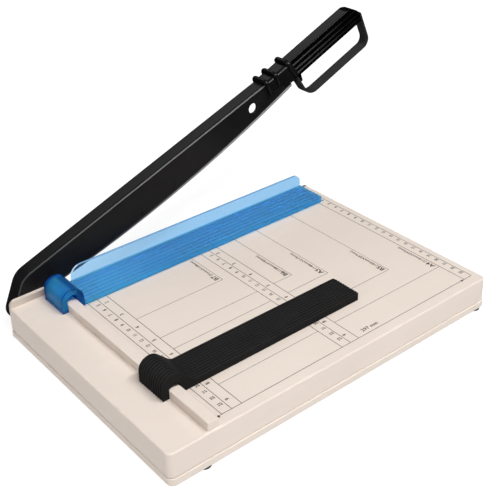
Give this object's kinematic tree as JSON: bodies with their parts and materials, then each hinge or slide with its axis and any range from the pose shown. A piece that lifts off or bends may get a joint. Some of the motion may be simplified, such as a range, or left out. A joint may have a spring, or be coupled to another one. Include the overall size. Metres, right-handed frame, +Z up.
{
  "type": "paper cutter",
  "caption": "Guillotine paper cutter: beige board with corner pivot, black curved blade arm and ringed handle with hand guard, sliding blue guard bar and ribbed paper stop.",
  "frame": {"origin": "centre of the whole cutter's bounding box, on the table under the feet", "axes": "+X along the blade from the pivot end to the handle end, +Y from the board's front edge to the blade edge, +Z up"},
  "size_m": [0.4562, 0.2734, 0.2173],
  "materials": {
    "beige_plastic": "fine-grained moulded plastic",
    "black_rubber": "matte",
    "zinc_steel": "zinc plated",
    "brass": "turned",
    "tool_steel": "ground",
    "black_paint": "fine-textured black paint, ground cutting edge",
    "black_screw": "black oxide",
    "black_gloss_plastic": "glossy",
    "black_matte_plastic": "ribbed, satin",
    "blue_clear": "clear blue moulding"
  },
  "bodies": {
    "base": {"base_top_shell": "beige_plastic", "base_bottom_cover": "beige_plastic", "rubber_feet": "black_rubber", "cover_screws": "zinc_steel", "fixed_blade": "tool_steel", "fixed_blade_screws": "zinc_steel", "fixed_blade_nuts": "zinc_steel", "pivot_bracket": "zinc_steel", "bracket_screws": "zinc_steel", "pivot_bolt": "zinc_steel", "pivot_spring_washers": "zinc_steel", "pivot_washer": "zinc_steel", "pivot_lock_nut": "zinc_steel", "ruler_fence": "beige_plastic", "fence_screws": "zinc_steel"},
    "cutter_arm": {"blade_arm": "black_paint", "pivot_bush": "brass", "handle_collar": "black_gloss_plastic", "handle_grip": "black_gloss_plastic", "handle_screws": "zinc_steel", "hand_guard": "black_paint", "hand_guard_screws": "black_screw"},
    "guard_bar": {"clamp_guard": "blue_clear"},
    "stop": {"paper_stop": "black_matte_plastic"}
  },
  "joints": [
    {"name": "arm_pivot", "type": "hinge", "parent": "base", "child": "cutter_arm", "pos_m": [-0.21014, 0.1177, 0.0234], "axis": [0, -1, 0], "range_deg": [-20.5, 45]},
    {"name": "guard_slide", "type": "slide", "parent": "base", "child": "guard_bar", "axis": [0, 1, 0], "range_m": [-0.05, 0]},
    {"name": "stop_slide", "type": "slide", "parent": "base", "child": "stop", "axis": [0, 1, 0], "range_m": [-0.048, 0.06]}
  ]
}
